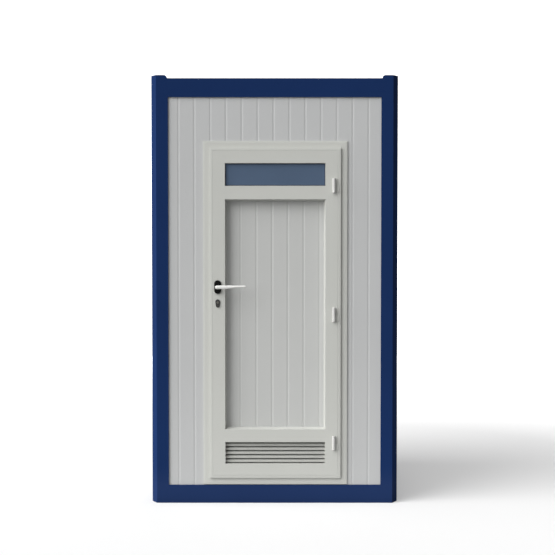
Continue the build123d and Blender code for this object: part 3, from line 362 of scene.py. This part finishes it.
TRIM_THICKNESS = 0.003
SCREW_STEP = 0.4
SCREW_DROP = 0.018
PAN_RADIUS = 0.0042
PAN_RISE = 0.0018
screw_z = trim_high.z - SCREW_DROP
trim_heads = [
    screw_head(place, axis, PAN_RADIUS, PAN_RISE)
    for s in (-SCREW_STEP, 0.0, SCREW_STEP)
    for place, axis in (
        ((trim_low.x + TRIM_THICKNESS, s, screw_z), (1, 0, 0)),
        ((trim_high.x - TRIM_THICKNESS, s, screw_z), (-1, 0, 0)),
        ((s, trim_low.y + TRIM_THICKNESS, screw_z), (0, 1, 0)),
        ((s, trim_high.y - TRIM_THICKNESS, screw_z), (0, -1, 0)),
    )
]
fit(closed_skin("trim_screws", *trim_heads), white_trim, "cabin")


# Door frame and leaf: hollow plastic sections, cut and welded at the corners, with a lip on the leaf
# that covers the gap. Rubber strips seal the leaf to its stops.
door_plastic = finish(
    "door_plastic", linear(193, 194, 189), roughness=0.38, mottle=0.012,
    cloud=0.5, grain=0.0018, relief=0.00001, specular=0.3,
)
dress(door_plastic, "door_frame", "leaf_stiles", "leaf_rails", "glazing_beads", "louvre_frame")
infill_sheet = finish(
    "infill_sheet", linear(189, 190, 188), roughness=0.4, mottle=0.012,
    cloud=0.5, grain=0.002, relief=0.00002, specular=0.3,
)
dress(infill_sheet, "infill_panel")
seal_rubber = finish(
    "seal_rubber", linear(28, 28, 28), roughness=0.7, mottle=0.1, cloud=0.02, grain=0.0008, relief=0.00005
)
dress(seal_rubber, "door_seals")


# Louvre blades: five sloping slats of the door's plastic, set across the vent between the sides of its
# frame. Their colour holds painted shade, darker towards the back where the blade above would shade it.
BLADE_SHADE_REACH = 0.014
blade_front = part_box("louvre_blades")[0].y
blade_painted_shade = finish(
    "blade_painted_shade", linear(182, 183, 178), roughness=0.45, mottle=0.03,
    cloud=0.05, grain=0.0018, relief=0.00002,
)
# Painted shade: each blade darkens towards its back, in place of the shadow of the blade above.
colour_by_place(blade_painted_shade, "Y", blade_front, blade_front + BLADE_SHADE_REACH, linear(128, 129, 126))
dress(blade_painted_shade, "louvre_blades")


# Leaf gasket: a lip of soft grey rubber that is pressed into a groove round the leaf's edge. It closes the
# narrow gap to the frame, just below the door's face.
def mitred_strip(low, high, out, y):
    """A strip round an upright rectangle, from corner low to corner high in x and z. The profile's points
    lie out beyond the rectangle's edge and at depth y; each ring is the profile at one mitred corner."""
    x = np.stack([low[0] - out, high[0] + out, high[0] + out, low[0] - out])
    z = np.stack([low[1] - out, low[1] - out, high[1] + out, high[1] + out])
    return np.stack([x, np.broadcast_to(y, x.shape), z], axis=-1)


def rounded_profile(out_low, out_high, y_low, y_high, power=4.0, count=20):
    """A closed profile on a superellipse: both half sizes times a power of the cosine and the sine."""
    turn = np.linspace(0, 2 * math.pi, count, endpoint=False)
    swing = np.sign(np.cos(turn)) * np.abs(np.cos(turn)) ** (2 / power)
    lift = np.sign(np.sin(turn)) * np.abs(np.sin(turn)) ** (2 / power)
    out = (out_low + out_high) / 2 + (out_high - out_low) / 2 * swing
    y = (y_low + y_high) / 2 + (y_high - y_low) / 2 * lift
    return out, y


GASKET_ROOT = 0.0004
GASKET_OUT = 0.0009
GASKET_SUNK = 0.0002
GASKET_DEPTH = 0.006
leaf_low, leaf_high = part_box("leaf_stiles")
gasket_grey = finish(
    "gasket_grey", linear(184, 185, 181), roughness=0.6, mottle=0.03,
    cloud=0.02, grain=0.0006, relief=0.00002,
)
gasket_profile = rounded_profile(
    -GASKET_ROOT, GASKET_OUT, leaf_low.y + GASKET_SUNK, leaf_low.y + GASKET_DEPTH
)
leaf_gasket = closed_skin(
    "leaf_gasket",
    mitred_strip((leaf_low.x, leaf_low.z), (leaf_high.x, leaf_high.z), *gasket_profile),
    ring=True,
)
fit(leaf_gasket, gasket_grey, "door")


# Fanlight: a sealed pair of panes, tinted grey-blue and obscured, held by narrow beads. A dark grey wedge
# of rubber is rolled in between bead and glass.
fanlight_glass = finish(
    "fanlight_glass", linear(78, 95, 118), roughness=0.12, mottle=0.04,
    cloud=0.3, grain=0.02, relief=0.00002, specular=0.4,
)
dress(fanlight_glass, "fanlight_glass")
glass_low, glass_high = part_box("fanlight_glass")
WEDGE_WIDTH = 0.006
WEDGE_INSET = 0.0006
WEDGE_PROUD = 0.0008
WEDGE_BED = 0.0005
wedge_profile = rounded_profile(
    -WEDGE_WIDTH, -WEDGE_INSET, glass_low.y - WEDGE_PROUD, glass_low.y + WEDGE_BED
)
glazing_wedge = closed_skin(
    "glazing_wedge",
    mitred_strip((glass_low.x, glass_low.z), (glass_high.x, glass_high.z), *wedge_profile),
    ring=True,
)
wedge_rubber = finish(
    "wedge_rubber", linear(58, 68, 82), roughness=0.7, mottle=0.08,
    cloud=0.02, grain=0.0008, relief=0.00004,
)
fit(glazing_wedge, wedge_rubber, "door")


# Hinges: turned barrels in two halves with a steel pin, sprayed white. The frame's half sits on a flat
# strap in the colour of the door.
white_enamel = finish(
    "white_enamel", linear(201, 201, 198), roughness=0.3, mottle=0.02,
    cloud=0.03, grain=0.002, relief=0.00001,
)
dress(white_enamel, "hinge_leaf_knuckles", "hinge_pins")
BARREL_MARGIN = 0.0005
COLOUR_CHANGE = 0.0004
barrel_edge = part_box("hinge_leaf_knuckles")[1].x + BARREL_MARGIN
strap_enamel = finish(
    "strap_enamel", linear(201, 201, 198), roughness=0.3, mottle=0.02,
    cloud=0.03, grain=0.002, relief=0.00001,
)
colour_by_place(strap_enamel, "X", barrel_edge, barrel_edge + COLOUR_CHANGE, linear(193, 194, 189))
dress(strap_enamel, "hinge_frame_knuckles")


# Lock: a zinc-plated case with its forend, latch and dead bolt, a keep in the frame and a grey cylinder
# with a paler plug. Two flush screws hold the forend, and two the keep.
plated_steel = finish(
    "plated_steel", linear(190, 190, 186), roughness=0.32, mottle=0.05,
    cloud=0.02, grain=0.0006, relief=0.00001, metallic=1.0,
)
dress(plated_steel, "strike_plate", "lock_case", "latch_bolt", "dead_bolt", "spindle")
cylinder_metal = finish(
    "cylinder_metal", linear(112, 111, 108), roughness=0.38, mottle=0.05,
    cloud=0.01, grain=0.0005, relief=0.00001, metallic=1.0,
)
dress(cylinder_metal, "lock_cylinder")
plug_metal = finish(
    "plug_metal", linear(170, 168, 160), roughness=0.34, mottle=0.05,
    cloud=0.01, grain=0.0005, relief=0.00001, metallic=1.0,
)
dress(plug_metal, "cylinder_plug")
FLUSH_RADIUS = 0.0036
FLUSH_RISE = 0.0003
FOREND_INSET = 0.009
KEEP_INSET = 0.0055
case_low, case_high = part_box("lock_case")
case_y = (case_low.y + case_high.y) / 2
forend_heads = [
    screw_head((case_low.x, case_y, z), (-1, 0, 0), FLUSH_RADIUS, FLUSH_RISE)
    for z in (case_low.z + FOREND_INSET, case_high.z - FOREND_INSET)
]
fit(closed_skin("forend_screws", *forend_heads), plated_steel, "door")
keep_low, keep_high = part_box("strike_plate")
keep_y = (keep_low.y + keep_high.y) / 2
keep_heads = [
    screw_head((keep_high.x, keep_y, z), (1, 0, 0), FLUSH_RADIUS, FLUSH_RISE)
    for z in (keep_low.z + KEEP_INSET, keep_high.z - KEEP_INSET)
]
fit(closed_skin("keep_screws", *keep_heads), plated_steel, "cabin")


# Handle plates: an oblong plate of black plastic behind each lever, and a dark enamelled one round each end
# of the cylinder. They lie flat on the leaf's two faces.
black_plastic = finish(
    "black_plastic", linear(8, 8, 9), roughness=0.55, mottle=0.08,
    cloud=0.01, grain=0.0007, relief=0.00003, specular=0.12,
)
dress(black_plastic, "rosettes")
dark_enamel = finish(
    "dark_enamel", linear(52, 53, 55), roughness=0.45, mottle=0.06,
    cloud=0.012, grain=0.0007, relief=0.00002,
)
dress(dark_enamel, "escutcheons")


# Levers: die-cast handles, one on each side of the leaf, on a square spindle. Each has a round neck and
# a tapering arm with a full round at its heel and tip, powder-coated white.
ARM_HALF = 0.0055
ARM_FULLNESS = 0.7
ROOT_HALF = 0.0095
TIP_HALF = 0.0055
ROOT_LIFT = 0.0005
TIP_RISE = 0.0035
TAPER_START = 0.3
TAPER_LENGTH = 0.45
SQUARENESS = 0.82
NECK_RADIUS = 0.009
NECK_SWELL = 0.0010
NECK_GAP = 0.0003
lever_low, lever_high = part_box("levers")
spindle_low, spindle_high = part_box("spindle")
handle_x = (spindle_low.x + spindle_high.x) / 2
handle_z = (spindle_low.z + spindle_high.z) / 2
heel_length = handle_x - lever_low.x
arm_reach = lever_high.x - handle_x


def lever_arm(face_y):
    """Oval rings along the arm. The half height falls by a smooth step past the arm's root and the middle
    rises by nearly as much, so the top edge stays almost level. At each end a quarter ellipse closes the
    ring to a point."""
    along = (1 - np.cos(np.linspace(0, math.pi, 61))) / 2
    x = -heel_length + (heel_length + arm_reach) * along
    step = np.clip((along - TAPER_START) / TAPER_LENGTH, 0, 1)
    slim = step**2 * (3 - 2 * step)
    taper = ROOT_HALF + (TIP_HALF - ROOT_HALF) * slim
    heel_round = np.clip((x + heel_length) / ROOT_HALF, 0, 1)
    tip_round = np.clip((arm_reach - x) / TIP_HALF, 0, 1)
    ends = np.sqrt(1 - (1 - heel_round) ** 2) * np.sqrt(1 - (1 - tip_round) ** 2)
    turn = np.linspace(0, 2 * math.pi, 48, endpoint=False)
    ring_z = np.sign(np.sin(turn)) * np.abs(np.sin(turn)) ** SQUARENESS
    ring_y = np.sign(np.cos(turn)) * np.abs(np.cos(turn)) ** SQUARENESS
    rings = np.empty((len(x), len(turn), 3))
    rings[..., 0] = (handle_x + x)[:, None]
    rings[..., 1] = face_y + ARM_HALF * ends[:, None] ** ARM_FULLNESS * ring_y
    middle = handle_z + ROOT_LIFT + TIP_RISE * slim
    rings[..., 2] = middle[:, None] + (taper * ends)[:, None] * ring_z
    return rings


def lever_neck(plate_y, arm_y):
    """Circles from the plate to the arm, which swell near the arm: by one less the root of one less the
    sixth power of the share of the way."""
    step = np.linspace(0, 1, 17)
    radius = NECK_RADIUS + NECK_SWELL * (1 - np.sqrt(1 - step**6))
    return turned((handle_x, plate_y, handle_z), (0, 1, 0), radius, (arm_y - plate_y) * step, 40)


lever_coat = finish(
    "lever_coat", linear(230, 230, 227), roughness=0.3, mottle=0.02,
    cloud=0.03, grain=0.0015, relief=0.00001,
)
outer_arm = lever_low.y + ARM_HALF
inner_arm = lever_high.y - ARM_HALF
lever_pair = closed_skin(
    "lever_pair",
    lever_arm(outer_arm),
    lever_neck(leaf_low.y - NECK_GAP, outer_arm),
    lever_arm(inner_arm),
    lever_neck(leaf_high.y + NECK_GAP, inner_arm),
)
fit(lever_pair, lever_coat, "lever")
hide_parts("levers")


# Toilet and basin: white glazed ware. The pan stands on the floor and carries its cistern, and a moulded
# seat and cover hang on two pins. The pins, the push button, the tap and the water nipple are chromed.
glaze = finish(
    "white_glaze", linear(236, 236, 232), roughness=0.08, mottle=0.01,
    cloud=0.3, grain=0.05, relief=0.00005,
)
shader_of(glaze).inputs["Coat Weight"].default_value = 0.5
dress(glaze, "toilet_pan", "cistern", "cistern_lid", "basin")
seat_moulding = finish(
    "seat_moulding", linear(238, 238, 236), roughness=0.22, mottle=0.01,
    cloud=0.2, grain=0.002, relief=0.00001,
)
dress(seat_moulding, "toilet_seat", "toilet_lid")
bright_chrome = finish(
    "bright_chrome", linear(214, 216, 218), roughness=0.07, mottle=0.03,
    cloud=0.05, grain=0.002, relief=0.000004, metallic=1.0,
)
dress(bright_chrome, "flush_button", "seat_hinges", "tap_body", "tap_lever", "water_inlet")


# Basin waste: a chromed brass ring, screwed down on the floor of the bowl. A domed plug of the same metal
# stands in it.
BOWL_DEPTH = 0.105
BOWL_BACK = 0.17
# Each point of the section is a radius and a height above the bowl's floor.
RING_SECTION = ((0.0230, -0.0004), (0.0230, 0.0012), (0.0220, 0.0018), (0.0190, 0.0018), (0.0180, 0.0010))
GAP_SECTION = ((0.0177, 0.0003), (0.0172, 0.0003))
PLUG_SECTION = ((0.0168, 0.0016), (0.0120, 0.0030), (0.0060, 0.0036), (0.0, 0.0038))
basin_low, basin_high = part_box("basin")
waste_place = (basin_low.x + BOWL_BACK, (basin_low.y + basin_high.y) / 2, basin_high.z - BOWL_DEPTH)
waste_radius, waste_along = np.array(RING_SECTION + GAP_SECTION + PLUG_SECTION).T
basin_waste = closed_skin("basin_waste", turned(waste_place, (0, 0, 1), waste_radius, waste_along, 48))
fit(basin_waste, bright_chrome, "cabin")


# Drains and power inlet: a grey plastic pipe, pushed on to the pan and led out through the rear wall, a
# white bottle trap, screwed together under the basin, and a black gland for a power cable in the rear wall.
drain_plastic = finish(
    "drain_plastic", linear(150, 152, 152), roughness=0.4, mottle=0.03,
    cloud=0.1, grain=0.002, relief=0.00002,
)
dress(drain_plastic, "soil_pipe")
trap_plastic = finish(
    "trap_plastic", linear(232, 232, 228), roughness=0.3, mottle=0.02,
    cloud=0.08, grain=0.002, relief=0.00002,
)
dress(trap_plastic, "basin_trap")
dress(black_plastic, "power_gland")


# Mirror: a sheet of silvered glass with bare edges, on the side wall above the basin. Four clips, bent from
# chromed strip, are screwed to the wall and hook over its edges.
mirror_glass = finish(
    "mirror_glass", linear(225, 228, 228), roughness=0.03, mottle=0.01,
    cloud=0.3, grain=0.05, relief=0.000002, metallic=1.0,
)
dress(mirror_glass, "mirror")
CLIP_INSET = 0.07
CLIP_GAP = 0.0002
CLIP_OUTSIDE = 0.0014
CLIP_LIP = (0.007, 0.0094, 0.010, 0.010, 0.0094, 0.007)
CLIP_ACROSS = (-0.008, -0.007, -0.005, 0.005, 0.007, 0.008)
mirror_low, mirror_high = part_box("mirror")


def mirror_clip(y, edge, inward):
    """A hooked profile, under the glass's edge and over its face, carried along y; its lip is lower at both
    ends, which rounds its corners."""
    lip = np.array(CLIP_LIP)
    wall = np.full(len(lip), mirror_low.x)
    glass = np.full(len(lip), mirror_high.x + CLIP_GAP)
    skin = np.full(len(lip), mirror_high.x + CLIP_OUTSIDE)
    under = np.full(len(lip), -CLIP_OUTSIDE)
    flush = np.full(len(lip), -CLIP_GAP)
    x = np.stack([wall, skin, skin, glass, glass, wall], axis=1)
    across = np.broadcast_to((y + np.array(CLIP_ACROSS))[:, None], x.shape)
    z = np.stack([under, under, lip, lip, flush, flush], axis=1)
    return np.stack([x, across, edge + inward * z], axis=-1)


clips = [
    mirror_clip(y, edge, inward)
    for y in (mirror_low.y + CLIP_INSET, mirror_high.y - CLIP_INSET)
    for edge, inward in ((mirror_low.z, 1), (mirror_high.z, -1))
]
fit(closed_skin("mirror_clips", *clips), bright_chrome, "cabin")


# Paper holder and roll: a moulded bracket and bobbin on the side wall, with soft embossed tissue wound on a
# card tube. The ends show the layers as a spiral, and the last sheet ends in a small step.
holder_plastic = finish(
    "holder_plastic", linear(232, 232, 230), roughness=0.35, mottle=0.02,
    cloud=0.08, grain=0.002, relief=0.00002,
)
dress(holder_plastic, "paper_holder")
tissue = finish(
    "tissue", linear(240, 239, 234), roughness=0.95, mottle=0.03, cloud=0.01, grain=0.0016, relief=0.0003
)
CORE_RADIUS = 0.020
CARD_THICKNESS = 0.0012
LAYER = 0.0014
SHEET_STEP = 0.0005
SIDE_INSET = 0.0012
END_INSET = 0.0005
LAYER_WAVE = 0.0003
RIM_ROUND = 0.0008
RIM_SHARE = 0.97
RIM_POINTS = 13
TUBE_INSET = 0.001
roll_low, roll_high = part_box("paper_roll")
roll_x = (roll_low.x + roll_high.x) / 2
roll_y = (roll_low.y + roll_high.y) / 2
roll_z = (roll_low.z + roll_high.z) / 2
roll_half = (roll_high.y - roll_low.y) / 2
roll_radius = (roll_high.z - roll_low.z) / 2


def wound_tissue():
    """The roll's section turned about its axis. The ends wave with the radius, a layer to each wave, and
    the wave shifts by one layer in a turn; the outside shrinks by a sheet in a turn."""
    turn = np.linspace(0, 2 * math.pi, 129)[:, None]
    inner = CORE_RADIUS + CARD_THICKNESS
    radius = np.linspace(roll_radius - SIDE_INSET, inner, 100)
    wave = np.cos(2 * math.pi * radius / LAYER - turn)
    end = roll_half - END_INSET + LAYER_WAVE * wave
    across = np.linspace(-1, 1, RIM_POINTS)
    swell = np.sqrt(1 - (RIM_SHARE * across) ** 8)
    outside = roll_radius - SHEET_STEP * turn / (2 * math.pi) - RIM_ROUND * (1 - swell)
    down = np.broadcast_to(radius, end.shape)
    side = np.broadcast_to(across * (roll_half - RIM_ROUND), outside.shape)
    r = np.concatenate([down, down[:, ::-1], outside], axis=1)
    y = np.concatenate([end, -end[:, ::-1], side], axis=1)
    return np.stack([roll_x + r * np.cos(turn), roll_y + y, roll_z + r * np.sin(turn)], axis=-1)


wound_roll = closed_skin("wound_roll", wound_tissue(), ring=True)
fit(wound_roll, tissue, "roll")
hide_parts("paper_roll")
card = finish(
    "card", linear(166, 136, 100), roughness=0.8, mottle=0.08, cloud=0.01, grain=0.001, relief=0.00008
)
tube_ends = np.array([-1.0, 1.0, 1.0, -1.0]) * (roll_half - TUBE_INSET)
tube_radius = CORE_RADIUS + np.array([0.0, 0.0, CARD_THICKNESS, CARD_THICKNESS])
tube = turned((roll_x, roll_y, roll_z), (0, 1, 0), tube_radius, tube_ends, 64)
fit(closed_skin("roll_tube", np.swapaxes(tube, 0, 1), ring=True), card, "roll")


# Ceiling lamp and switch: a bowl of opal plastic, twisted into a white base on the ceiling, and a rocker in
# a white plate on the wall. Base, plate and rocker are moulded in the paper holder's plastic.
opal = finish(
    "opal_bowl", linear(244, 242, 234), roughness=0.35, mottle=0.02,
    cloud=0.1, grain=0.004, relief=0.00002,
)
dress(opal, "lamp_diffuser")
dress(holder_plastic, "lamp_base", "switch_plate", "switch_rocker")


# Studio: a wide round sweep of pale paper, which glows more far from the cabin and throws no light on it.
# Two wide lights come from the left, above, a softbox from the left and one from behind. A card of light on
# the floor lifts the foot of the front, and a faint sky fills the rest.
def turned_sheet(name, radius, z, count=96):
    """A profile of radius and height, turned once about the upright axis through the origin."""
    grid = turned((0.0, 0.0, 0.0), (0, 0, 1), radius, z, count)
    i, j = np.meshgrid(np.arange(len(radius) - 1), np.arange(count), indexing="ij")
    on = (j + 1) % count
    faces = np.stack([i * count + j, (i + 1) * count + j, (i + 1) * count + on, i * count + on], axis=-1)
    mesh = bpy.data.meshes.new(name)
    mesh.from_pydata(grid.reshape(-1, 3).tolist(), [], faces.reshape(-1, 4).tolist())
    mesh.shade_smooth()
    sheet = bpy.data.objects.new(name, mesh)
    bpy.context.scene.collection.objects.link(sheet)
    return sheet


SWEEP_START = 0.001
SWEEP_FLOOR = 14.0
SWEEP_BEND = 4.0
SWEEP_TOP = 14.0
GLOW_START = 2.5
GLOW_FULL = 8.0
GLOW_NEAR = 0.3
GLOW_FAR = 1.0
arc = np.linspace(0, math.pi / 2, 17)
sweep = turned_sheet(
    "studio_sweep",
    np.concatenate([[SWEEP_START], SWEEP_FLOOR + SWEEP_BEND * np.sin(arc), [SWEEP_FLOOR + SWEEP_BEND]]),
    np.concatenate([[0.0], SWEEP_BEND - SWEEP_BEND * np.cos(arc), [SWEEP_TOP]]),
)
paper_white = finish(
    "paper_white", linear(203, 203, 203), roughness=0.9, mottle=0.0,
    cloud=1.0, grain=0.01, relief=0.0, specular=0.0,
)
paper_shader = shader_of(paper_white)
paper_shader.inputs["Emission Color"].default_value = (1.0, 1.0, 1.0, 1.0)
paper_tree = paper_white.node_tree
paper_place = paper_tree.nodes.new("ShaderNodeTexCoord")
paper_range = paper_tree.nodes.new("ShaderNodeVectorMath")
paper_range.operation = "LENGTH"
paper_tree.links.new(paper_place.outputs["Object"], paper_range.inputs[0])
paper_glow = between(paper_tree, paper_range.outputs["Value"], GLOW_NEAR, GLOW_FAR, GLOW_START, GLOW_FULL)
paper_tree.links.new(paper_glow, paper_shader.inputs["Emission Strength"])
sweep.data.materials.append(paper_white)
sweep.visible_diffuse = False
sweep.visible_glossy = False
sweep.visible_shadow = False


def soft_sun(name, heading, energy, spread):
    """A wide, far light that shines along heading; its spread is the angle that it fills, in radians."""
    data = bpy.data.lights.new(name, "SUN")
    data.energy = energy
    data.angle = spread
    sun = bpy.data.objects.new(name, data)
    sun.rotation_euler = Vector(heading).to_track_quat("-Z", "Y").to_euler()
    bpy.context.scene.collection.objects.link(sun)


def softbox(name, place, heading, size, energy):
    """A flat light of width and height size, which shines along heading and isn't seen itself."""
    data = bpy.data.lights.new(name, "AREA")
    data.shape = "RECTANGLE"
    data.size, data.size_y = size
    data.energy = energy
    box = bpy.data.objects.new(name, data)
    box.location = place
    box.rotation_euler = Vector(heading).to_track_quat("-Z", "Y").to_euler()
    box.visible_camera = False
    bpy.context.scene.collection.objects.link(box)


UP = (0.0, 0.0, 1.0)
RIGHT = (1.0, 0.0, 0.0)
FORWARD = (0.0, -1.0, 0.0)
soft_sun("key", heading=(0.75, 0.45, -0.48), energy=3.34, spread=1.0)
soft_sun("top_light", heading=(0.35, 0.45, -0.82), energy=1.26, spread=1.0)
softbox("floor_card", place=(0.0, -1.2, 0.01), heading=UP, size=(4.0, 1.0), energy=4.5)
softbox("left_softbox", place=(-7.0, 1.0, 1.4), heading=RIGHT, size=(2.4, 2.6), energy=160.0)
softbox("rear_softbox", place=(0.0, 8.0, 1.4), heading=FORWARD, size=(4.0, 2.4), energy=220.0)

SKY_STRENGTH = 0.24
sky = bpy.data.worlds.new("sky")
sky.use_nodes = True
sky.node_tree.nodes["Background"].inputs["Color"].default_value = (1.0, 1.0, 1.0, 1.0)
sky.node_tree.nodes["Background"].inputs["Strength"].default_value = SKY_STRENGTH
bpy.context.scene.world = sky
bpy.context.scene.view_settings.view_transform = "Standard"


# Camera: a long lens at eye height, straight in front of the cabin and tipped down a little. The picture is
# shifted sideways by half a percent of its width, because the cabin stands a little off its middle.
CAMERA_PLACE = (0.0, -8.675, 1.569)
CAMERA_TILT = math.radians(2.3)
FILM_WIDTH = 36.0
FOCAL_LENGTH = 94.45
SIDE_SHIFT = 0.0051
camera_data = bpy.data.cameras.new("camera")
camera_data.sensor_width = FILM_WIDTH
camera_data.lens = FOCAL_LENGTH
camera_data.shift_x = SIDE_SHIFT
camera = bpy.data.objects.new("camera", camera_data)
camera.location = CAMERA_PLACE
camera.rotation_euler = (math.pi / 2 - CAMERA_TILT, 0.0, 0.0)
bpy.context.scene.collection.objects.link(camera)
bpy.context.scene.camera = camera
